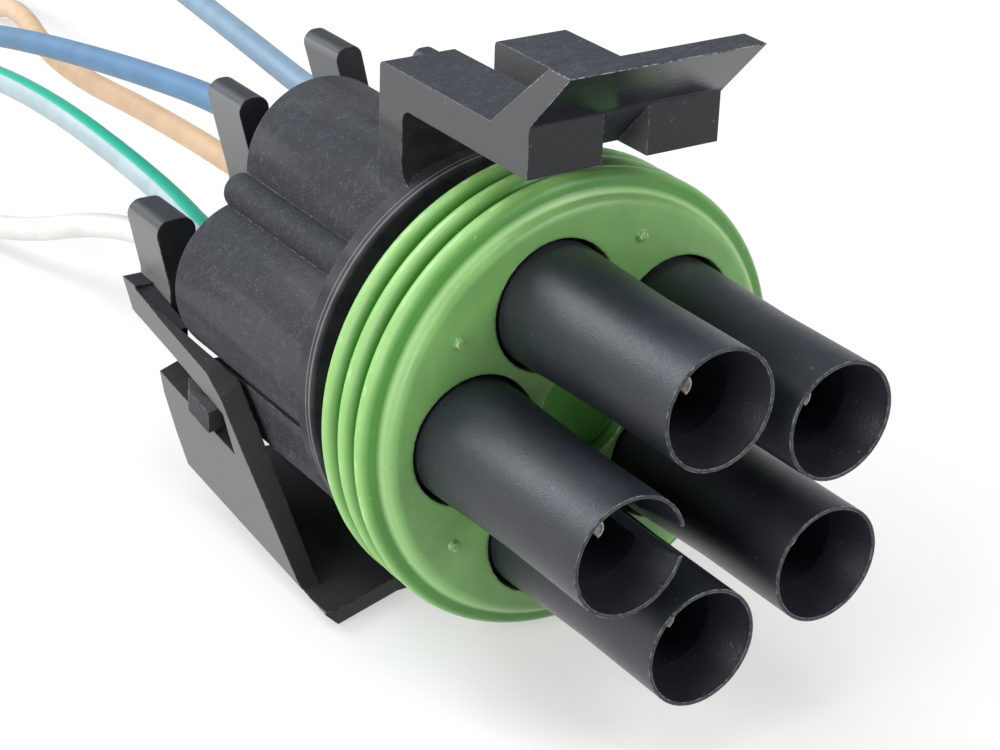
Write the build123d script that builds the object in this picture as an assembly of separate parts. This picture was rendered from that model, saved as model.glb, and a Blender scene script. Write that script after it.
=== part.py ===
from build123d import *
import math
import os

# Five-way sealed tower connector with leads, in millimetres.
# While it is modelled the towers point to -Y, the mating axis is Y through x = z = 0, and the latch is up.
# The finished pieces are then moved so that the origin is under the middle, on the surface it rests on.

# Ways, seen from the front: upper left, upper right, left, lower right, lower left
way_angles = [108, 36, 180, -36, -108]
way_pitch_r = 7.9

# Towers
tower_tip_r = 3.7
tower_root_r = 3.95
tower_parallel = 8.0
tower_length = 15.65
mouth_r = 3.45
funnel_r = 2.8
funnel_depth = 3.0
bore_depth = 11.0
lock_bore_r = 2.3
key_slot_width = 1.9
key_slot_length = 6.5

# Front seal
seal_thick = 6.55
seal_disc_r = 13.7
seal_root_r = 14.15
rib_r = 15.05
rib_count = 3
rib_pitch = 1.9
rib_half = 0.78
first_rib = 1.65
seal_lip = 0.55
seal_hole_gap = 0.32
seal_pocket_r = 3.3
seal_pocket_depth = 1.2
nub_r = 0.28
nub_pitch_r = 11.4
nub_height = 0.3

# Housing behind the seal
neck_r = 12.0
neck_length = 2.3
flange_r = 14.0
flange_thick = 1.9
flange_edge = 0.3
body_length = 17.6
lobe_r = 5.7
core_r = 6.5
rib_top_r = 11.9
body_rib_width = 2.5
rear_round = 0.45
chamber_r = 2.9
chamber_length = 7.1
seal_bore_r = 3.3

# Latch bridge
latch_gap = 1.98
arm_thick = 2.29
arm_split = 3.14
latch_width = 13.3
leg_thick = 2.65
leg_setback = 0.05
leg_round = 0.8
leg_foot = 2.2
hook_height = 3.06
hook_length = 3.0
slab_reach = 7.6
slab_rise = 4.7
slab_top = 2.06
slab_overhang = 0.35
slab_heel = 0.98

# Side nibs that hold the rear lock
wing_top = 4.6
wing_low = 7.6
wing_out = 11.75
nib_out = 14.25
nib_length = 4.0
nib_setback = 6.1
nib_drop = 6.35
nib_height = 1.5
nib_rise = 0.6
nib_ramp = 1.0

# Rear lock
lock_wall = 1.35
lobe_gap = 0.3
floor_thick = 1.15
floor_gap = 0.15
comb_gap = 3.4
comb_depth = 4.6
plate_thick = 2.0
slot_half = 2.25
slot_drop = 1.67
bar_height = 3.2
finger_round = 1.0
strap_top = 2.05
strap_low = 4.0
panel_top = 7.04
corner_rise = 1.31

# Terminals, wire seals and leads
terminal_tip = 2.6
contact_r = 0.65
contact_bore_r = 0.42
box_r = 1.85
crimp_r = 1.2
wire_r = 1.0
wire_seal_gap = 0.05
wire_seal_length = 6.5
wire_seal_rib = 0.35
lead_start = 9.5

# Stations along the mating axis
seal_y = tower_length
neck_y = seal_y + seal_thick
flange_y = neck_y + neck_length
body_y = flange_y + flange_thick
rear_y = body_y + body_length
comb_y = rear_y + comb_gap
end_y = comb_y + comb_depth
plate_y = end_y - plate_thick
chamber_y = neck_y + 1.8
bore_y = chamber_y + chamber_length
wire_y = rear_y - lead_start

# Levels
lock_half = way_pitch_r + lobe_r
floor_top = flange_r + floor_gap
rest_h = max(floor_top + floor_thick, rib_r)
lead_floor = wire_r - rest_h
arm_z = rib_r + latch_gap
nib_y = rear_y - nib_setback
lock_front = flange_y - floor_thick


def way(i):
    a = math.radians(way_angles[i])
    return way_pitch_r * math.cos(a), way_pitch_r * math.sin(a)


def mids():
    return [72 * k for k in range(5)]


def prism(sketch, y0, y1):
    station = Plane(origin=(0, y1, 0), x_dir=(1, 0, 0), z_dir=(0, -1, 0))
    return extrude(station * sketch, amount=y1 - y0, dir=(0, -1, 0))


def side_slab(points, x0, x1):
    return extrude(Plane.YZ.offset(x0) * Polygon(*points, align=None), amount=x1 - x0, dir=(1, 0, 0))


def tapered_slab(outer, inner, x_outer, x_inner):
    faces = [Plane.YZ.offset(x) * make_face(Polyline(*points, close=True))
             for points, x in ((outer, x_outer), (inner, x_inner))]
    return loft(faces, ruled=True)


def turned(profile):
    return revolve(make_face(profile), axis=Axis.Y)


def turned_points(points):
    return turned(Polyline(*points, close=True))


def rod(r, y0, y1, x=0.0, z=0.0):
    return Pos(x, (y0 + y1) / 2, z) * Rot(90, 0, 0) * Cylinder(r, y1 - y0)


def at_way(shape, i):
    x, z = way(i)
    return Pos(x, 0, z) * shape


# Housing: towers


def tower():
    return turned_points([(0, 0), (tower_tip_r, 0), (tower_tip_r, tower_parallel),
                          (tower_root_r, tower_length), (tower_root_r, flange_y), (0, flange_y)])


def cavity():
    return turned_points([(0, -1), (mouth_r + 0.2, -1), (mouth_r, 0.2), (funnel_r, funnel_depth),
                          (funnel_r, bore_depth), (lock_bore_r, bore_depth), (lock_bore_r, chamber_y),
                          (chamber_r, chamber_y),
                          (chamber_r, bore_y), (seal_bore_r, bore_y), (seal_bore_r, rear_y + 1),
                          (0, rear_y + 1)])


def key_slot():
    x, z = way(2)
    end = key_slot_length - key_slot_width / 2
    box = Pos(x + tower_tip_r, end / 2 - 1, z) * Box(tower_tip_r * 2 - 2, end + 2, key_slot_width)
    tip = Pos(x + tower_tip_r, end, z) * Rot(0, 90, 0) * Cylinder(key_slot_width / 2, tower_tip_r * 2 - 2)
    return box + tip


# Housing: body, flange and side nibs


def body_outline():
    outline = Circle(core_r)
    for i in range(len(way_angles)):
        outline += Pos(*way(i)) * Circle(lobe_r)
    crest = rib_top_r - body_rib_width / 2
    for a in mids():
        outline += Rot(0, 0, a) * Pos(crest / 2, 0) * Rectangle(crest, body_rib_width)
        outline += Rot(0, 0, a) * Pos(crest, 0) * Circle(body_rib_width / 2)
    return outline


def rear_block():
    block = prism(body_outline(), body_y, rear_y)
    rim = block.faces().sort_by(Axis.Y)[-1].outer_wire().edges()
    return fillet(rim, rear_round)


def flange():
    disc = rod(flange_r, flange_y, body_y)
    return fillet(disc.edges().filter_by(GeomType.CIRCLE), flange_edge)


def side_nib(side):
    rear = nib_y + nib_length
    wing = side_slab([(body_y - flange_edge, -wing_top), (rear, -wing_top), (rear, -wing_low),
                      (body_y - flange_edge, -wing_low)], way_pitch_r, wing_out)
    face = [(nib_y, -nib_drop), (rear, nib_rise - nib_drop), (rear, nib_rise - nib_drop - nib_height),
            (nib_y, -nib_drop - nib_height)]
    rise = 0.2 * (nib_out - wing_out)
    root = [(y, z + rise) for y, z in face]
    nib = tapered_slab(face, root, nib_out, wing_out)
    ramp = Pos(nib_out, rear, -nib_drop) * Rot(0, 0, -28) * Box(nib_ramp, 2 * nib_length, 2 * nib_length)
    piece = wing + (nib - ramp)
    return piece if side > 0 else mirror(piece, about=Plane.YZ)


# Housing: latch bridge


def latch():
    half = latch_width / 2
    top = arm_z + arm_thick
    leg_front = body_y + leg_setback
    leg_back = leg_front + leg_thick
    slab_root = seal_y + slab_overhang
    hook_y = slab_root - hook_length + slab_overhang / 3
    hook_z = arm_z + hook_height
    slab_y = slab_root - slab_reach + slab_heel
    slab_z = top + slab_rise
    back_y = slab_root + slab_heel
    piece = Part()
    for side in (-1, 1):
        x0, x1 = sorted((side * arm_split / 2, side * half))
        foot_z = flange_r * 0.88
        arm = side_slab([(slab_root, arm_z), (leg_front, arm_z), (leg_front, foot_z),
                         (leg_front - flange_thick * 0.8, foot_z), (leg_front - flange_thick * 0.8, way_pitch_r),
                         (leg_back, way_pitch_r), (leg_back, top), (back_y, top)], x0, x1)
        arm = fillet(arm.edges().filter_by(Axis.X).sort_by_distance((0, leg_front, foot_z))[0:1], leg_foot / 2)
        arm = fillet(arm.edges().filter_by(Axis.X).sort_by_distance((0, leg_front, arm_z))[0:1], leg_round)
        arm = fillet(arm.edges().filter_by(Axis.X).sort_by_distance((0, leg_back, top))[0:1], leg_round / 2)
        hook = side_slab([(hook_y, arm_z), (slab_root + hook_length / 2, arm_z),
                          (hook_y + hook_length * 0.67, hook_z), (hook_y, hook_z)], x0, x1)
        piece += arm + hook
    rear_slope = (slab_z - top) / (back_y - slab_y - slab_top)
    foot_y = back_y + (top - arm_z) / rear_slope
    piece += side_slab([(slab_y, slab_z), (slab_y + slab_top, slab_z), (back_y, top), (foot_y, arm_z),
                        (slab_root, arm_z), (hook_y, hook_z)], -half, half)
    return piece


def housing():
    piece = rear_block() + flange() + rod(neck_r, neck_y, flange_y)
    for i in range(len(way_angles)):
        piece += at_way(tower(), i)
    piece += latch()
    piece += side_nib(-1)
    piece += side_nib(1)
    for i in range(len(way_angles)):
        piece -= at_way(cavity(), i)
    return piece - key_slot()


# Front seal


def seal_profile():
    # A rounded lip round the face, a conical flank up to the first rib, then the ribs
    lip_y = seal_y + seal_lip
    lines = [Line((0, seal_y), (seal_disc_r - seal_lip, seal_y)),
             ThreePointArc((seal_disc_r - seal_lip, seal_y), (seal_disc_r - 0.3 * seal_lip, seal_y + 0.3 * seal_lip),
                           (seal_disc_r, lip_y))]
    here = (seal_disc_r, lip_y)
    for k in range(rib_count):
        y = seal_y + first_rib + k * rib_pitch
        start = (seal_root_r, y - rib_half)
        stop = (seal_root_r, y + rib_half)
        lines.append(Line(here, start))
        lines.append(ThreePointArc(start, (rib_r, y), stop))
        here = stop
    lines.append(Line(here, (seal_root_r - flange_edge, neck_y)))
    lines.append(Line((seal_root_r - flange_edge, neck_y), (0, neck_y)))
    lines.append(Line((0, neck_y), (0, seal_y)))
    return lines


def front_seal():
    piece = turned(Wire(Curve() + seal_profile()))
    for i in range(len(way_angles)):
        piece -= at_way(rod(tower_root_r + seal_hole_gap, seal_y - 1, neck_y + 1), i)
    piece -= rod(seal_pocket_r, seal_y - 1, seal_y + seal_pocket_depth)
    for a in mids():
        piece += Rot(0, a, 0) * rod(nub_r, seal_y - nub_height, seal_y + 0.5, nub_pitch_r, 0)
    return piece


# Rear lock


def corner_cut(side, inward):
    # The lower corner of the cradle is cut by one plane that deepens to the rear
    start = (-lock_half, body_y + flange_edge * 2, corner_rise - rest_h)
    normal = Vector(-16.89, 1.705, -16.73).normalized()
    at = Vector(*start) - normal * inward
    size = 3 * lock_half
    block = Plane(origin=at, z_dir=normal) * Pos(0, 0, size / 2) * Box(2 * size, 2 * size, size)
    return block if side < 0 else mirror(block, about=Plane.YZ)


def cradle_form(inward):
    half = lock_half - inward
    low = -rest_h + inward * floor_thick / lock_wall
    high = way_pitch_r
    form = Pos(0, (flange_y + end_y) / 2, (low + high) / 2) * Box(2 * half, 2 * body_length, high - low)
    thin = 0.6 * inward
    return form - corner_cut(-1, thin) - corner_cut(1, thin)


def arm_edge():
    # Strap from the comb down to the front corner: y, z and how far the edge rises across the wall
    run = end_y - body_y
    drop = floor_top - strap_top
    shares = [(0, 0, 0), (0.08, 0.02, 0), (0.16, 0.05, 0.015), (0.245, 0.09, 0.045), (0.495, 0.178, 0.07),
              (0.575, 0.27, 0.085), (0.67, 0.445, 0.09), (0.97, 0.96, 0), (1.0, 1.0, 0)]
    return [(end_y - run * a, -strap_top - drop * b, drop * c) for a, b, c in shares]


def arm_rest():
    # Floor and slanted rear end of the lower panel
    fall = rest_h - panel_top
    return [(lock_front, -floor_top, 0), (lock_front, -rest_h, 0), (rear_y - 0.42 * fall, -rest_h, 0),
            (rear_y - 0.29 * fall, -panel_top - 0.76 * fall, 0), (rear_y + 0.02 * fall, -panel_top - 0.43 * fall, 0),
            (rear_y + 0.23 * fall, -panel_top - 0.165 * fall, 0), (rear_y + 0.3 * fall, -panel_top, 0),
            (rear_y + 0.3 * fall, -strap_low - 0.06 * fall - floor_thick, 0),
            (end_y, -strap_low - 0.06 * fall - floor_thick, 0)]


def window():
    # Open to the rear, between the strap and the lower panel; its front limb stops the nib
    gap = panel_top - strap_low
    rear = rear_y + 0.8 * gap
    return [(nib_y - 0.82 * gap, -panel_top - 0.48 * gap, 0.1 * gap), (rear, -panel_top, 0.15 * gap),
            (end_y + gap, -panel_top, 0.15 * gap), (end_y + gap, -strap_top, 0), (end_y, -strap_top, 0),
            (end_y - 0.5 * gap, -strap_low, 0.1 * gap), (end_y - 2.47 * gap, -strap_low - 0.3 * gap, 0.1 * gap),
            (nib_y + 1.1 * gap, -strap_low - 0.49 * gap, 0.1 * gap),
            (nib_y - 0.28 * gap, -strap_low - 0.73 * gap, 0.1 * gap),
            (nib_y - 0.56 * gap, -panel_top - 0.12 * gap, 0.1 * gap)]


def through_wall(points):
    # The same outline on both walls, slanted across each wall by the points' rises
    spare = lock_wall
    outer = [(y, z - rise) for y, z, rise in points]
    inner = [(y, z + 2 * rise) for y, z, rise in points]
    slab = tapered_slab(outer, inner, lock_half + spare, lock_half - lock_wall - spare)
    return slab + mirror(slab, about=Plane.YZ)


def cradle():
    shell = cradle_form(0) - cradle_form(lock_wall)
    floor = Pos(0, (lock_front + rear_y) / 2, -rest_h) * Box(2 * lock_half, 2 * body_length, 2 * floor_thick)
    walls = through_wall(arm_edge() + arm_rest())
    underside = side_slab([(y, z) for y, z, rise in arm_rest()[:3]] + [(rear_y - floor_thick, -floor_top)],
                          -lock_half - lock_wall, lock_half + lock_wall)
    piece = (shell & walls) + (shell & floor & underside)
    tongue = make_face(Polyline((-0.8 * lock_half, rear_y - 0.5 * floor_top), (-0.6 * lock_half, rear_y + floor_thick),
                                (0.6 * lock_half, rear_y + floor_thick), (0.8 * lock_half, rear_y - 0.5 * floor_top),
                                close=True))
    piece += Pos(0, 0, -rest_h) * extrude(tongue, amount=floor_thick, dir=(0, 0, 1))
    piece -= through_wall(window())
    for i in range(len(way_angles)):
        piece -= at_way(rod(lobe_r + lobe_gap, lock_front - lock_wall, plate_y), i)
    x_tip = lock_half - 0.75
    x_nose = 0.54 * lock_half
    nose = make_face(Polyline((-x_tip, lock_front), (-x_nose, flange_y + 0.55), (x_nose, flange_y + 0.55),
                              (x_tip, lock_front), (x_tip, lock_front - 2), (-x_tip, lock_front - 2), close=True))
    return piece - Pos(0, 0, -rest_h - 1) * extrude(nose, amount=rest_h)


def finger(root, tip, shoulder_z, tip_z, root_z):
    outline = Polygon((root[0], root_z), (root[1], root_z), (root[1], shoulder_z), (tip[1], tip_z),
                      (tip[0], tip_z), (root[0], shoulder_z), align=None)
    crest = outline.vertices().sort_by(Axis.Y)[-2:]
    return fillet(crest, min(finger_round, 0.4 * (tip[1] - tip[0])))


def bar(x0, x1, z0, z1):
    return Pos((x0 + x1) / 2, (z0 + z1) / 2) * Rectangle(x1 - x0, z1 - z0)


def comb():
    (x1, z1), (x2, z2), (x3, z3), (x4, z4), (x5, z5) = [way(i) for i in range(5)]
    left_z = z3 - slot_drop
    right_z = z4 - slot_drop
    low_z = z5 - slot_drop
    pitch = way_pitch_r
    mid_x = x1 - 0.2 * pitch
    f_a = finger((x2 - slot_half - 0.26 * pitch, x2 - slot_half - 0.02 * pitch), (0.07 * pitch, 0.335 * pitch),
                 pitch, 1.715 * pitch, low_z - bar_height)
    f_b = finger((x3 + slot_half + 0.055 * pitch, mid_x), (x3 + 0.12 * pitch, mid_x - 0.06 * pitch),
                 0.5 * pitch, 1.41 * pitch, low_z - bar_height)
    f_c = finger((x3 - slot_half - 0.26 * pitch, x3 - slot_half), (x3 - 0.68 * pitch, x3 - slot_half),
                 -0.2 * pitch, 0.44 * pitch, left_z - bar_height)
    f_d = finger((x2 + slot_half, x2 + slot_half + 0.33 * pitch), (x2 + slot_half + 0.165 * pitch,
                 x2 + slot_half + 0.405 * pitch), pitch, 1.37 * pitch, right_z - bar_height)
    fingers = f_a + f_b + f_c + f_d
    plate = bar(x3 - slot_half - 0.2 * pitch, mid_x, left_z - bar_height, left_z)
    plate += bar(x3 + slot_half, x2 - slot_half, low_z - bar_height, low_z)
    plate += bar(x2 - slot_half - 0.26 * pitch, x2 + slot_half + 0.33 * pitch, right_z - bar_height, right_z)
    return prism(fingers, comb_y, end_y) + prism(plate, plate_y, end_y)


def ledge(side):
    x0, x1 = sorted((side * lock_half, side * (lock_half - 0.25 * lock_half)))
    slant = 0.5 * (panel_top - strap_low)
    return side_slab([(end_y, -strap_top), (plate_y, -strap_top), (plate_y, -strap_low), (end_y - slant, -strap_low)],
                     x0, x1)


def rear_lock():
    return cradle() + comb() + ledge(-1) + ledge(1)


# Terminals and wire seals


def terminal():
    y0 = terminal_tip
    neck = bore_depth + contact_r
    return turned_points([(contact_bore_r, y0), (contact_r, y0), (contact_r, neck), (box_r, neck + 3 * contact_r),
                          (box_r, chamber_y - 2 * crimp_r), (crimp_r, chamber_y - crimp_r), (crimp_r, wire_y),
                          (0, wire_y), (0, neck - contact_r), (contact_bore_r, neck - contact_r)])


def wire_seal():
    r_in = wire_r + wire_seal_gap
    r_out = seal_bore_r - wire_seal_gap
    y0 = wire_y + wire_seal_rib
    step = wire_seal_length / 3
    points = [(r_in, y0), (r_out - wire_seal_rib, y0)]
    for k in range(3):
        mid = y0 + (k + 0.5) * step
        points += [(r_out, mid - wire_seal_rib), (r_out, mid + wire_seal_rib), (r_out - wire_seal_rib, mid + step / 2)]
    return turned_points(points + [(r_in, y0 + wire_seal_length)])


# Leads: hand-picked points after the exit, from the way straight back and down to the surface


def lead_routes():
    exits = [(54.0, way(0)), (54.0, way(1)), (48.5, way(2)), (55.0, way(3)), (53.0, way(4))]
    rests = [[(0.6, 80, 2.4), (2.4, 108, -3.3), (4.2, 132, -9.6), (5.5, 150, lead_floor)],
             [(9.2, 82, 5.0), (13.8, 108, 3.2), (17.4, 134, -4.0), (20.0, 156, lead_floor)],
             [(-6.0, 62.5, 0.0), (-6.9, 84, 1.0), (-6.9, 108, -3.3), (-6.7, 130, -9.8), (-6.0, 146, lead_floor)],
             [(6.2, 84, -4.6), (6.6, 110, -7.2), (11.9, 132, -7.8), (17.0, 150, lead_floor)],
             [(-2.9, 72, -6.9), (-8.1, 90, lead_floor + 0.3), (-12.1, 108, lead_floor), (-15.5, 124, lead_floor)]]
    return [[(w[0], wire_y, w[1]), (w[0], y, w[1])] + rest for (y, w), rest in zip(exits, rests)]


def lead(i):
    points = [Vector(*p) for p in lead_routes()[i]]
    radii = []
    for a, b, c in zip(points, points[1:], points[2:]):
        turn = math.radians((b - a).get_angle(c - b))
        radii.append(0.45 * min((b - a).length, (c - b).length) / math.tan(turn / 2))
    path = FilletPolyline(*points, radius=radii)
    section = Plane(origin=points[0], z_dir=(0, 1, 0)) * Circle(wire_r)
    tube = sweep(section, path=path)
    ideal = math.pi * wire_r ** 2 * path.length
    print("wire_%d length %.1f radii %s volume ratio %.4f"
          % (i + 1, path.length, [round(r, 1) for r in radii], tube.volume / ideal))
    return tube


def nodes():
    made = {"housing": housing(), "front_seal": front_seal(), "rear_lock": rear_lock()}
    for i in range(len(way_angles)):
        made["terminal_%d" % (i + 1)] = at_way(terminal(), i)
        made["wire_seal_%d" % (i + 1)] = at_way(wire_seal(), i)
        made["wire_%d" % (i + 1)] = lead(i)
    return made


if __name__ == "__main__":
    os.makedirs("parts", exist_ok=True)
    for name, shape in nodes().items():
        export_step(Pos(0, -end_y / 2, rest_h) * shape, "parts/%s.step" % name)
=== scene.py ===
# %% [markdown]
# # A five-way connector pigtail
# The real thing is a black moulded connector with five round towers, a green silicone seal round
# their roots, a latch bridge on top, a black lock clipped on behind and five coloured leads. The
# shapes of the moulded pieces come from the CAD frame, which loads first. This lesson adds the
# camera, the leads as smooth curves, the stamped contacts and a finish for every surface. Blender
# works in metres; sizes that read better in millimetres are multiplied by `MM`.

import math
from types import SimpleNamespace

import bmesh
import bpy
from mathutils import Matrix, Vector


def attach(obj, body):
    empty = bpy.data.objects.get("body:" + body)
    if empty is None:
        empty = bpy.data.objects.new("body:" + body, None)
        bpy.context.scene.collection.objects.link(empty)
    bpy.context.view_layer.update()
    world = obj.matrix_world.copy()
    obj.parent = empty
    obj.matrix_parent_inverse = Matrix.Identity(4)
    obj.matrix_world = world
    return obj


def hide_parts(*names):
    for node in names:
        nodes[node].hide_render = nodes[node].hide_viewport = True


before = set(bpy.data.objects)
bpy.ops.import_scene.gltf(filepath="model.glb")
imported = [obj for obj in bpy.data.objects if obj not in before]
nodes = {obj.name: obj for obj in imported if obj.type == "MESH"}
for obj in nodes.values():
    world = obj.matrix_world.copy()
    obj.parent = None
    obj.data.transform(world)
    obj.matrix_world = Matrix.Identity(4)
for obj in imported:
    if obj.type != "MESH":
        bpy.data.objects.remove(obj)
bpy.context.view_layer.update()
MM = 0.001

# %% [markdown]
# ## The camera
# A photograph fixes a camera completely: where it stands, where it looks, how far it is rolled and
# how long its lens is. It could be placed by eye, but then nothing would line up. These numbers were
# fitted to the towers, the seal and the latch, so they go in as they are. `back` points from the
# object to the camera, and the roll turns the picture's own right and up about it.

# %% Camera
AXIS_UP = 15.3       # mm from the table up to the mating axis
TOWER_TIPS = -26.0   # mm, the front end of the towers
FOCAL_PIXELS = 2389.68
PICTURE_WIDTH = 1000
SENSOR_WIDTH = 36
azimuth, elevation, roll = math.radians(-34.0725), math.radians(25.8655), math.radians(2.0167)
target = Vector((-16.859, TOWER_TIPS, 13.103 + AXIS_UP)) * MM
distance = 118.878 * MM

back = Vector((math.sin(azimuth) * math.cos(elevation), -math.cos(azimuth) * math.cos(elevation),
               math.sin(elevation)))
level = Vector((math.cos(azimuth), math.sin(azimuth), 0))
upright = back.cross(level)
right = math.cos(roll) * level + math.sin(roll) * upright
up = -math.sin(roll) * level + math.cos(roll) * upright

lens = bpy.data.cameras.new("camera")
lens.sensor_fit = "HORIZONTAL"
lens.sensor_width = SENSOR_WIDTH
lens.lens = FOCAL_PIXELS * SENSOR_WIDTH / PICTURE_WIDTH
lens.clip_start = 0.005
camera = bpy.data.objects.new("camera", lens)
camera.matrix_world = Matrix.Translation(target + distance * back) @ Matrix(
    (right, up, back)).transposed().to_4x4()
bpy.context.scene.collection.objects.link(camera)
bpy.context.scene.camera = camera
print("camera stands at", [round(c, 4) for c in camera.location])

# %% [markdown]
# ## A small language for materials
# A material is a graph of nodes, and a graph is tedious to wire by hand. `Wire` wraps one socket so
# that sums can be written as sums: each operator adds a Math node. Every other kind of node comes
# from its one method, `node`, which takes the type, the settings and what goes into the sockets.

# %% Wire
class Wire:
    def __init__(self, tree, socket=None):
        self.tree, self.socket = tree, socket

    def node(self, kind, settings=None, ins=None, out=0):
        made = self.tree.nodes.new(kind)
        for key, value in (settings or {}).items():
            setattr(made, key, value)
        for key, value in (ins or {}).items():
            if isinstance(value, Wire):
                self.tree.links.new(value.socket, made.inputs[key])
            else:
                made.inputs[key].default_value = value
        return Wire(self.tree, made.outputs[out] if len(made.outputs) else None)

    def maths(self, operation, a, b=0.0):
        return self.node("ShaderNodeMath", {"operation": operation}, {0: a, 1: b})

    def __add__(self, other):
        return self.maths("ADD", self, other)

    def __sub__(self, other):
        return self.maths("SUBTRACT", self, other)

    def __rsub__(self, other):
        return self.maths("SUBTRACT", other, self)

    def __mul__(self, other):
        return self.maths("MULTIPLY", self, other)

    __radd__, __rmul__ = __add__, __mul__

    def size(self):
        return self.maths("ABSOLUTE", self)

    def root(self):
        return self.maths("SQRT", self)

    def band(self, low, high):
        # 0 below low, 1 above high, smooth between; given the other way round, it falls instead
        return self.node("ShaderNodeMapRange", {"interpolation_type": "SMOOTHSTEP"},
                         {0: self, 1: low, 2: high, 3: 0.0, 4: 1.0})

    def mix(self, colour_a, colour_b):
        # self picks between two colours
        return self.node("ShaderNodeMix", {"data_type": "RGBA"}, {0: self, 6: colour_a, 7: colour_b}, 2)


print("Wire is ready")

# %% [markdown]
# ## Starting a material
# Every finish here begins the same way: a Principled shader, and the position on the piece in
# millimetres, because grain sizes are easier to think about in millimetres. World coordinates would
# do for a still picture, but object coordinates keep the grain on the piece when the piece moves.

# %% Material starter
def finish_start(name):
    material = bpy.data.materials.new(name)
    material.use_nodes = True
    tree = material.node_tree
    shader = tree.nodes["Principled BSDF"]
    wire = Wire(tree)
    place = wire.node("ShaderNodeTexCoord", out=3)
    place = wire.node("ShaderNodeVectorMath", {"operation": "SCALE"}, {0: place, "Scale": 1000.0})
    return material, shader, wire, place


def split(place):
    return [place.node("ShaderNodeSeparateXYZ", ins={0: place}, out=k) for k in range(3)]


def speckle(place, grain, detail=2.0):
    # noise whose blotches are about `grain` millimetres across
    return place.node("ShaderNodeTexNoise", ins={"Vector": place, "Scale": 1.0 / grain,
                                                 "Detail": detail, "Roughness": 0.6})


def connect(wire, shader, **sockets):
    for name, value in sockets.items():
        socket = shader.inputs[name.replace("_", " ")]
        if isinstance(value, Wire):
            wire.tree.links.new(value.socket, socket)
        else:
            socket.default_value = value


def paint(material, *names):
    for name in names:
        slots = nodes[name].data.materials
        slots.clear()
        slots.append(material)


print("material starter is ready")

# %% [markdown]
# ## The leads
# A lead is a length of copper in soft plastic. It leaves its way straight back, droops under its own
# weight and ends on the table, a little outside the picture. A Bezier curve would do, with handles
# to balance at every point. A NURBS curve with a few listed points has none, and stays smooth
# whatever the points do. Its order has to be set after the points are there.

# %% Lead curves
LEAD_R = 1.0 * MM
lead_routes = {
    "wire_1": [(-0.00244, 0.0085, 0.02281), (-0.00244, 0.028, 0.02281), (0.0006, 0.054, 0.0177),
               (0.0024, 0.082, 0.012), (0.0042, 0.106, 0.0057), (0.0055, 0.124, 0.001)],
    "wire_2": [(0.00639, 0.0085, 0.01994), (0.00639, 0.028, 0.01994), (0.0092, 0.056, 0.0203),
               (0.0138, 0.082, 0.0185), (0.0174, 0.108, 0.0113), (0.02, 0.13, 0.001)],
    "wire_3": [(-0.0079, 0.0085, 0.0153), (-0.0079, 0.0225, 0.0153), (-0.006, 0.0365, 0.0153),
               (-0.0069, 0.058, 0.0163), (-0.0069, 0.082, 0.012), (-0.0067, 0.104, 0.0055),
               (-0.006, 0.12, 0.001)],
    "wire_4": [(0.00639, 0.0085, 0.01066), (0.00639, 0.029, 0.01066), (0.0062, 0.058, 0.0107),
               (0.0066, 0.084, 0.0081), (0.0119, 0.106, 0.0075), (0.017, 0.124, 0.001)],
    "wire_5": [(-0.00244, 0.0085, 0.00779), (-0.00244, 0.027, 0.00779), (-0.0029, 0.046, 0.0084),
               (-0.0081, 0.064, 0.0013), (-0.0121, 0.082, 0.001), (-0.0155, 0.098, 0.001)],
}


def lead_curve(name, points):
    data = bpy.data.curves.new(name + "_curve", "CURVE")
    data.dimensions = "3D"
    spline = data.splines.new("NURBS")
    spline.points.add(len(points) - 1)
    for control, point in zip(spline.points, points):
        control.co = (*point, 1)
        control.radius = LEAD_R
    spline.order_u = 3
    spline.use_endpoint_u = True
    spline.resolution_u = 16
    data.bevel_depth = 1.0
    data.bevel_resolution = 8
    data.use_fill_caps = True
    piece = bpy.data.objects.new(name + "_lead", data)
    bpy.context.scene.collection.objects.link(piece)
    return piece


def curve_length(piece):
    # without its bevel the curve is a bare line, so its edges add up to its length
    bevel, piece.data.bevel_depth = piece.data.bevel_depth, 0.0
    bpy.context.view_layer.update()
    evaluated = piece.evaluated_get(bpy.context.evaluated_depsgraph_get())
    line = bpy.data.meshes.new_from_object(evaluated)
    spots = [vertex.co for vertex in line.vertices]
    total = sum((spots[edge.vertices[0]] - spots[edge.vertices[1]]).length for edge in line.edges)
    bpy.data.meshes.remove(line)
    piece.data.bevel_depth = bevel
    return total


leads = {}
for name, points in lead_routes.items():
    leads[name] = lead_curve(name, points)
    length = curve_length(leads[name])
    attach(leads[name], "body")
    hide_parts(name)
    print(name, "is", round(length, 4), "m long")

# %% [markdown]
# ## Insulation
# The leads are soft vinyl: an even colour, a satin skin, and the faint streaks that the extruder
# leaves. One of them has a darker stripe for telling it apart. The stripe could be a strip of its own
# geometry, but a curve's UV already runs along it and round it, so a stripe is no more than a band
# of its second number, and it turns with the lead.

# %% Insulation finish
lead_colours = {
    "wire_1": (0.068, 0.17, 0.31), "wire_2": (0.17, 0.265, 0.365), "wire_3": (0.31, 0.4, 0.43),
    "wire_4": (0.62, 0.42, 0.26), "wire_5": (0.65, 0.635, 0.625),
}
# colour, middle and half width of a stripe, both as shares of the way round
stripes = {"wire_3": ((0.0, 0.32, 0.21), 0.25, 0.16)}
STRIPE_BLUR = 0.025


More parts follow.
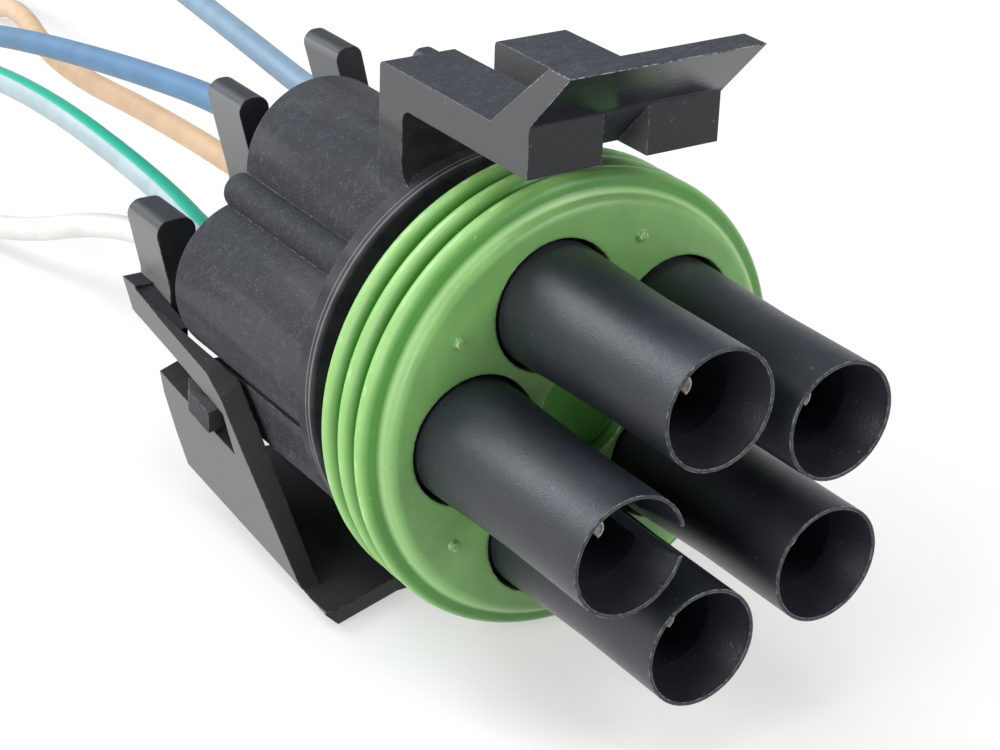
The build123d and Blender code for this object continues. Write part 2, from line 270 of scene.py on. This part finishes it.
def insulation(name, colour):
    material, shader, wire, place = finish_start(name + "_vinyl")
    along = wire.node("ShaderNodeTexCoord", out=2)
    turn = along.node("ShaderNodeSeparateXYZ", ins={0: along}, out=1)
    cloud = speckle(place, 3.0)
    deep = tuple(c * 0.88 for c in colour)
    skin = cloud.band(0.35, 0.65).mix((*deep, 1), (*colour, 1))
    if name in stripes:
        shade, middle, half = stripes[name]
        stripe = (turn - middle).size().band(half, half - STRIPE_BLUR)
        skin = stripe.mix(skin, (*shade, 1))
    height = speckle(place, 0.35) + 0.5 * speckle(place, 0.12)
    bump = wire.node("ShaderNodeBump", ins={"Strength": 0.15, "Distance": 0.00004, "Height": height})
    connect(wire, shader, Base_Color=skin, Roughness=0.4 + 0.15 * speckle(place, 1.2), Normal=bump)
    return material


for name, colour in lead_colours.items():
    leads[name].data.materials.append(insulation(name, colour))
print(len(leads), "leads painted")

# %% [markdown]
# ## Where an edge is
# Every sharp edge of a moulding gets a pale line: a little flash, a little wear, and a painted
# highlight where the rounded edge would catch the light. Pointiness would find edges only as finely
# as the mesh is cut. The Bevel node gives the normal that a rounded edge would have, on any mesh, and
# where that normal and the true one disagree there is an edge. Each finish breaks the line up with
# noise, because flash is never even.

# %% Edge mask
def edge_line(wire, width):
    # the rounded normal, and a mask that is 1 along the edges, with the radius in millimetres
    rounded = wire.node("ShaderNodeBevel", {"samples": 6}, {"Radius": width * MM})
    true = wire.node("ShaderNodeNewGeometry", out=1)
    agree = wire.node("ShaderNodeVectorMath", {"operation": "DOT_PRODUCT"}, {0: rounded, 1: true}, 1)
    return rounded, (1 - agree).band(0.04, 0.22)


print("edge mask is ready")

# %% [markdown]
# ## Moulded black plastic
# The housing and the lock are glass-filled nylon. Their mould was spark-eroded, which prints a fine
# speckle, and dust sits on it. A photograph of plastic could be wrapped round them, but it would
# stretch somewhere, and noise in the piece's own space doesn't. This first function gives what both
# pieces share and hands the masks and sums back in one bundle, so that the marks of each piece can
# be added before the shader is wired.

# %% Nylon skin
def nylon_skin(name, dark, light, flank_grey, pepper, flank_from=None):
    s = SimpleNamespace()
    s.material, s.shader, s.wire, s.place = finish_start(name)
    s.x, s.y, s.z = split(s.place)
    s.facing = split(s.wire.node("ShaderNodeTexCoord", out=1))
    s.rounded, s.edge = edge_line(s.wire, 0.16)
    s.grain = speckle(s.place, 0.12, 3.0)
    cloud = speckle(s.place, 4.0, 3.0)
    s.dust = speckle(s.place, 0.22, 0.0).band(0.83, 0.86)
    # painted light makes the faces that look sideways pale, and painted shade makes the ones that look
    # forwards nearly black
    s.flank = s.facing[0].size().band(0.8, 0.95)
    if flank_from:
        s.flank = s.flank * s.z.band(*flank_from)
    # painted shade on the faces that look forwards
    painted_front_shade = s.facing[1].band(-0.6, -0.9)
    s.base = cloud.band(0.3, 0.7).mix((*dark, 1), (*light, 1))
    s.base = s.flank.mix(s.base, (*flank_grey, 1))
    s.base = (painted_front_shade * 0.6).mix(s.base, (0.004, 0.004, 0.0045, 1))
    # pepper gathers in clouds, and is weak on those faces
    mixed = s.grain * 0.75 + speckle(s.place, 0.6, 2.0) * 0.25
    s.specks = mixed.band(0.5, 0.66) * pepper * (0.2 + 1.3 * cloud)
    s.specks = s.specks * (1 - 0.75 * s.flank) * (1 - 0.9 * painted_front_shade)
    s.height = s.grain
    s.rough = 0.56 + 0.2 * s.grain - 0.1 * s.flank
    # flash and painted highlight along the edges
    s.flash = s.edge * speckle(s.place, 0.35, 2.0).band(0.4, 0.62)
    return s


def nylon_done(s):
    base = s.specks.mix(s.base, (0.085, 0.096, 0.118, 1))
    # the pale mix is flash and painted highlight on the edges, and dust
    base = (s.flash * 0.9 + s.dust * 0.2).mix(base, (0.34, 0.35, 0.37, 1))
    bump = s.wire.node("ShaderNodeBump", ins={"Strength": 0.5, "Distance": 0.00005,
                                              "Height": s.height, "Normal": s.rounded})
    connect(s.wire, s.shader, Base_Color=base, Roughness=s.rough, Normal=bump)
    return s.material


print("nylon skin is ready")

# %% [markdown]
# ## What the mould left on the housing, and its painted sheen
# The towers' mould was turned on a lathe, which prints fine rings. The lobes carry painted light and
# dark bands of reflection along them, the latch has a coarser grain, the overhanging face of the
# thumb plate was ground, and two painted highlight lines run round the flange. Each place could have
# its own material, but the borders would show as hard seams. Masks on position and facing, with
# soft edges, keep it one skin. Stretched noise makes rings, bands and streaks alike.

# %% Housing marks
def stretched(place, scales, grain, detail=2.0):
    drawn = place.node("ShaderNodeVectorMath", {"operation": "MULTIPLY"}, {0: place, 1: scales})
    return speckle(drawn, grain, detail)


def from_axis(x, z):
    return (x * x + (z - AXIS_UP) * (z - AXIS_UP)).root()


def housing_marks(s):
    y, z, place = s.y, s.z, s.place
    lobes = y.band(-4.0, -2.0) * z.band(31.5, 30.5)
    # painted reflection: dark bluish and warm grey bands along the lobes
    sheen_bands = stretched(place, (1.0, 0.1, 1.0), 2.2, 1.0).band(0.38, 0.62)
    painted_sheen_colour = sheen_bands.mix((0.002, 0.0035, 0.0075, 1), (0.019, 0.0195, 0.021, 1))
    s.base = (lobes * 0.8).mix(s.base, painted_sheen_colour)
    s.rough = s.rough + (0.12 - 0.08 * sheen_bands) * lobes

    towers = y.band(-10.2, -10.6) * z.band(29.0, 28.0)
    rings = stretched(place, (1.5, 20.0, 1.5), 1.0)
    fine = speckle(place, 0.08, 1.0) * towers
    thumb_face = z.band(35.4, 35.9) * s.facing[2].band(-0.1, -0.3)
    streaks = stretched(place, (0.25, 9.0, 9.0), 1.0)
    latch = z.band(29.5, 30.5) * (1 - s.flank) * (1 - thumb_face)
    leather = speckle(place, 0.25, 1.0) * latch
    radius = from_axis(s.x, z)
    rim = radius.band(13.7, 13.85) * radius.band(14.3, 14.15) * y.band(0.6, 0.5)
    # painted highlight: two pale lines round the flange's front edge
    flange_highlight_lines = ((y + 1.24).size().band(0.1, 0.05) + (y + 0.85).size().band(0.07, 0.04)) * rim

    smooth = 1 - (1 - towers) * (1 - thumb_face) * (1 - 0.7 * rim)
    s.specks = s.specks * (1 - smooth)
    s.height = (s.grain * (1 - smooth * 0.8) + rings * towers * 0.5 + fine * 0.8
                + streaks * thumb_face * 0.3 + leather * 1.4)
    s.rough = (s.rough * (1 - towers) * (1 - thumb_face) + towers * (0.29 + 0.2 * rings)
               + thumb_face * (0.08 + 0.16 * streaks))
    # the pale edge line, part flash and part painted highlight, is strongest on the thumb plate's top
    # edge, then round the towers' mouths
    top_edge, mouths = z.band(36.5, 38.0), y.band(-25.5, -25.8)
    s.flash = s.flash * (0.5 + 1.1 * top_edge + 0.4 * mouths) + flange_highlight_lines * 0.3


# the flank colour is painted light on side faces above 30 mm, on the latch
skin = nylon_skin("housing_nylon", dark=(0.0105, 0.0128, 0.0185), light=(0.0155, 0.0182, 0.0255),
                  flank_grey=(0.051, 0.0525, 0.0555), pepper=0.6, flank_from=(29.5, 30.0))
housing_marks(skin)
paint(nylon_done(skin), "housing")
print("housing painted")

# %% [markdown]
# ## What the mould left on the lock, and its painted shade
# The lock came from another mould, so it has its own blacks and less pepper. What faces up low on it
# gets painted shade, the darkest colour on the connector, and is the dullest plastic there. It could
# be painted on by hand, but the same skin with one more mask is enough.

# %% Lock marks
def lock_marks(s):
    shelf_shade = s.z.band(15.5, 14.0) * s.facing[2].band(0.1, 0.4)
    # painted shade on the low shelves that face up
    s.base = (shelf_shade * 0.8).mix(s.base, (0.002, 0.0025, 0.0035, 1))
    s.specks = s.specks * (1 - 0.6 * shelf_shade)
    s.rough = s.rough + 0.16 * shelf_shade - 0.16 * s.z.band(14.0, 15.5)
    # the lock's pale edge line, flash and painted highlight, is weaker
    s.flash = s.flash * 0.5


# the flank colour is painted light on the lock's side faces
skin = nylon_skin("lock_nylon", dark=(0.0065, 0.008, 0.011), light=(0.0095, 0.0115, 0.0155),
                  flank_grey=(0.121, 0.121, 0.125), pepper=0.25)
lock_marks(skin)
lock_nylon = nylon_done(skin)
paint(lock_nylon, "rear_lock")
print("rear lock painted")

# %% [markdown]
# ## A web in each strap
# Where the lock's straps reach the comb they are solid right across, so the top of each strap reads
# as one dark band. A web of the same plastic stands there, inside the strap's own outline, behind
# the end of the housing. A cube could be pushed into shape by hand. Two copies of one outline, joined
# by a wall, give the same web and its mirror image from one list of corners.

# %% Strap webs
WEB_OUTLINE = [(24.05, 13.0), (21.9, 12.62), (19.7, 12.12), (18.65, 11.9), (18.65, 10.5),
               (24.3, 11.25)]  # y and z in mm
WEB_WALLS = ((13.56, -0.05), (12.27, 0.12))  # how far out each wall is, and its rise, in mm


def strap_web(side, name):
    bm = bmesh.new()
    outer, inner = [[bm.verts.new((side * out * MM, y * MM, (z + rise) * MM))
                     for y, z in WEB_OUTLINE] for out, rise in WEB_WALLS]
    bm.faces.new(outer)
    bm.faces.new(list(reversed(inner)))
    for j in range(len(WEB_OUTLINE)):
        bm.faces.new((outer[j - 1], outer[j], inner[j], inner[j - 1]))
    bmesh.ops.recalc_face_normals(bm, faces=bm.faces)
    mesh = bpy.data.meshes.new(name)
    bm.to_mesh(mesh)
    bm.free()
    mesh.materials.append(lock_nylon)
    piece = bpy.data.objects.new(name, mesh)
    bpy.context.scene.collection.objects.link(piece)
    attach(piece, "lock")
    return piece


webs = [strap_web(-1, "strap_web_left"), strap_web(1, "strap_web_right")]
print(len(webs), "strap webs")

# %% [markdown]
# ## Green silicone
# Silicone lets a little light in, so its shadows stay green, and oil that bleeds from it gives it a
# satin shine. A volume would carry the light more truly and far more slowly; subsurface scattering
# on the skin is enough at this size. The ribs' crests carry a painted highlight, with a thin line of
# flash round each, the grooves carry painted shade, deeper in colour, the rounded shoulder of the
# front face carries a painted highlight, and the front edge is ragged. The distance from the mating
# axis tells a crest from a groove.

# %% Silicone finish
def silicone(name):
    material, shader, wire, place = finish_start(name)
    x, y, z = split(place)
    radius = from_axis(x, z)
    cloud = speckle(place, 3.0, 3.0)
    skin = cloud.band(0.3, 0.7).mix((0.135, 0.3, 0.09, 1), (0.16, 0.345, 0.105, 1))
    ribs = y.band(-9.7, -9.4)
    shoulder_highlight = radius.band(13.5, 13.9) * (1 - ribs)
    groove_shade = radius.band(15.0, 14.5) * ribs
    crest_highlight = radius.band(14.85, 15.04)
    # painted highlight on the rounded shoulder of the front face
    skin = shoulder_highlight.mix(skin, (0.29, 0.49, 0.2, 1))
    # painted shade in the grooves between the ribs
    skin = (groove_shade * 0.9).mix(skin, (0.03, 0.18, 0.008, 1))
    # painted highlight on the ribs' crests
    skin = (crest_highlight * 0.6).mix(skin, (0.25, 0.48, 0.14, 1))
    line = radius.band(15.025, 15.045) * speckle(place, 1.5, 2.0).band(0.48, 0.65)
    dust = speckle(place, 0.22, 0.0).band(0.82, 0.85)
    rounded, edge = edge_line(wire, 0.25)
    ragged = edge * y.band(-10.1, -10.3) * speckle(place, 0.4, 2.0).band(0.42, 0.6)
    skin = (line * 0.3 + dust * 0.25 + ragged * 0.9).mix(skin, (0.6, 0.75, 0.5, 1))
    height = speckle(place, 0.6) + 0.4 * speckle(place, 0.2)
    bump = wire.node("ShaderNodeBump", ins={"Strength": 0.25, "Distance": 0.00005, "Height": height,
                                            "Normal": rounded})
    connect(wire, shader, Base_Color=skin, Roughness=0.34 + 0.16 * cloud, Normal=bump,
            Subsurface_Weight=0.25, Subsurface_Scale=0.0012)
    return material


paint(silicone("green_silicone"), "front_seal", *["wire_seal_%d" % k for k in range(1, 6)])
print("seals painted")

# %% [markdown]
# ## Contacts
# A contact is stamped from thin sheet and rolled until its edges nearly meet, so its mouth is a C and
# not a ring. Only the mouth can be seen, deep in each tower; behind it come the box that locks in the
# housing and the crimp on the lead. A sheet could be bent by a modifier, but it would have to be cut
# out first. One profile swept round an axis makes each of these at once, and leaving out part of the
# turn leaves the seam open.

# %% Contact shapes
WAY_RING = 7.9                           # mm from the mating axis to the middle of a way
WAY_ANGLES = [108, 36, 180, -36, -108]   # degrees
MOUTH_TIP, MOUTH_BACK = -22.6, -14.0     # mm along the way
MOUTH_IN, MOUTH_OUT = 0.38, 0.66         # mm, the radii of the rolled sheet
SEAM = (-65, 215)                        # degrees, where the turn starts and stops


def swept(bm, profile, start, stop, steps, closed):
    # a closed (radius, y) profile carried round the Y axis, in degrees
    count = steps if closed else steps + 1
    rings = []
    for k in range(count):
        a = math.radians(start + (stop - start) * k / steps)
        rings.append([bm.verts.new((r * math.cos(a), y, r * math.sin(a))) for r, y in profile])
    for k in range(steps):
        one, two = rings[k], rings[(k + 1) % count]
        for j in range(len(profile)):
            bm.faces.new((one[j], one[j - 1], two[j - 1], two[j]))
    if not closed:
        # the two cut ends take the second material
        for end in (rings[0], list(reversed(rings[-1]))):
            bm.faces.new(end).material_index = 1


def rolled_contact(k):
    bm = bmesh.new()
    mouth = [(MOUTH_IN, MOUTH_TIP + 0.3), (0.54, MOUTH_TIP), (0.62, MOUTH_TIP),
             (MOUTH_OUT, MOUTH_TIP + 0.06), (MOUTH_OUT, MOUTH_BACK), (MOUTH_IN, MOUTH_BACK)]
    swept(bm, mouth, *SEAM, steps=40, closed=False)
    box_and_crimp = [(0.3, -14.4), (0.65, -14.4), (1.85, -12.4), (1.85, -4.4), (1.2, -3.2),
                     (1.2, 8.5), (0.3, 8.5)]
    swept(bm, box_and_crimp, 0, 360, steps=32, closed=True)
    bmesh.ops.recalc_face_normals(bm, faces=bm.faces)
    a = math.radians(WAY_ANGLES[k])
    way = (WAY_RING * math.cos(a), 0, AXIS_UP + WAY_RING * math.sin(a))
    bmesh.ops.translate(bm, verts=bm.verts, vec=way)
    bmesh.ops.scale(bm, verts=bm.verts, vec=(MM, MM, MM))
    mesh = bpy.data.meshes.new("contact_%d" % (k + 1))
    bm.to_mesh(mesh)
    bm.free()
    piece = bpy.data.objects.new("contact_%d" % (k + 1), mesh)
    bpy.context.scene.collection.objects.link(piece)
    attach(piece, "body")
    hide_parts("terminal_%d" % (k + 1))
    return piece


contacts = [rolled_contact(k) for k in range(len(WAY_ANGLES))]
print(len(contacts), "contacts of", len(contacts[0].data.polygons), "faces")

# %% [markdown]
# ## Tinned brass
# The sheet was tinned before it was cut, so its faces are grey and its cut ends are yellow brass. A
# mask could find the cut ends, but each face already knows which it is, so a mesh with two materials
# says it most plainly.

# %% Contact finish
def sheet_metal(name, worn, clean):
    material, shader, wire, place = finish_start(name)
    cloud = speckle(place, 0.3, 3.0)
    skin = cloud.band(0.35, 0.7).mix((*worn, 1), (*clean, 1))
    connect(wire, shader, Base_Color=skin, Metallic=0.6, Roughness=0.42 + 0.25 * cloud)
    return material


tin = sheet_metal("tinned_brass", (0.5, 0.48, 0.43), (0.78, 0.76, 0.7))
brass = sheet_metal("cut_brass", (0.42, 0.27, 0.1), (0.62, 0.43, 0.18))
for piece in contacts:
    piece.data.materials.append(tin)
    piece.data.materials.append(brass)
print("contacts painted")

# %% [markdown]
# ## The table
# The picture has a white table all round. More light would make a grey table white, and would bleach
# the connector too. So the table glows for the camera and for mirrors alone, and only by half for the
# camera, which leaves the connector's shadow on it.

# %% Floor
TABLE_HALF = 2  # m
corners = [(-TABLE_HALF, -TABLE_HALF, 0), (TABLE_HALF, -TABLE_HALF, 0),
           (TABLE_HALF, TABLE_HALF, 0), (-TABLE_HALF, TABLE_HALF, 0)]
floor_mesh = bpy.data.meshes.new("floor")
floor_mesh.from_pydata(corners, [], [(0, 1, 2, 3)])
floor = bpy.data.objects.new("floor", floor_mesh)
bpy.context.scene.collection.objects.link(floor)
material, shader, wire, place = finish_start("pale_floor")
connect(wire, shader, Base_Color=(0.86, 0.86, 0.86, 1), Roughness=0.9, Specular_IOR_Level=0.0)
lit = Wire(wire.tree, shader.outputs[0])
glow = wire.node("ShaderNodeEmission", ins={"Color": (1, 1, 1, 1), "Strength": 1.0})
seen = wire.node("ShaderNodeLightPath", out=0)
mirrored = wire.node("ShaderNodeLightPath", out=3)
table = wire.node("ShaderNodeMixShader", ins={0: seen * 0.45 + mirrored, 1: lit, 2: glow})
wire.tree.links.new(table.socket, wire.tree.nodes["Material Output"].inputs[0])
floor_mesh.materials.append(material)
print("table is", 2 * TABLE_HALF, "m wide")

# %% [markdown]
# ## The sky
# The world is white to the camera and through clear things. What the plastic mirrors is white at the
# horizon and dim and bluish above, so that what faces up stays dark, and the light that the sky
# gives is weak. A picture of a studio could hang there, but these two bands are all that the plastic
# shows of one.

# %% World
world = bpy.data.worlds.new("studio")
bpy.context.scene.world = world
world.use_nodes = True
world.node_tree.nodes.clear()
wire = Wire(world.node_tree)
seen = wire.node("ShaderNodeLightPath", out=0)
gloss = wire.node("ShaderNodeLightPath", out=3)
through = wire.node("ShaderNodeLightPath", out=6)
lift = split(wire.node("ShaderNodeTexCoord", out=0))[2]
ceiling = 0.36 + 0.64 * lift.band(0.4, 0.1)
clear = wire.node("ShaderNodeMath", {"operation": "ADD", "use_clamp": True}, {0: seen, 1: through})
strength = clear + (1 - clear) * (gloss * ceiling + (1 - gloss) * 0.3)
tint = (gloss * lift.band(0.1, 0.4)).mix((1, 1, 1, 1), (0.78, 0.89, 1, 1))
sky = wire.node("ShaderNodeBackground", ins={"Color": tint, "Strength": strength})
wire.node("ShaderNodeOutputWorld", ins={0: sky})
print("sky is ready")

# %% [markdown]
# ## The lamps
# The connector is lit like a catalogue picture, by broad soft boxes: a cool one behind on the left,
# one overhead, a warm one on the left and one in front on the right. Small lamps would cast hard
# shadows, and round satin plastic would show them as bright dots, so each is a wide disk that looks
# at the connector's middle.

# %% Lamps
LAMP_AIM = Vector((0, 0, 0.015))


def softbox(name, place, size, power, colour):
    data = bpy.data.lights.new(name, "AREA")
    data.shape, data.size, data.energy, data.color = "DISK", size, power, colour
    lamp = bpy.data.objects.new(name, data)
    lamp.location = place
    lamp.rotation_euler = (LAMP_AIM - Vector(place)).to_track_quat("-Z", "Y").to_euler()
    bpy.context.scene.collection.objects.link(lamp)


softbox("rear_left", (-0.2, 0.34, 0.26), 0.27, 1.4, (0.9, 0.95, 1.0))
softbox("overhead", (-0.05, 0.05, 0.5), 0.4, 1.2, (0.93, 0.97, 1.0))
softbox("left", (-0.45, -0.1, 0.18), 0.34, 2.0, (1.0, 0.96, 0.9))
softbox("front_right", (0.24, -0.42, 0.3), 0.25, 1.7, (1.0, 0.99, 0.96))
bpy.context.scene.view_settings.view_transform = "Standard"
print(len(bpy.data.lights), "lamps")

# %% [markdown]
# ## Finish
# The visual model has to stay in the CAD model's box.

# %% Finish
bpy.context.view_layer.update()
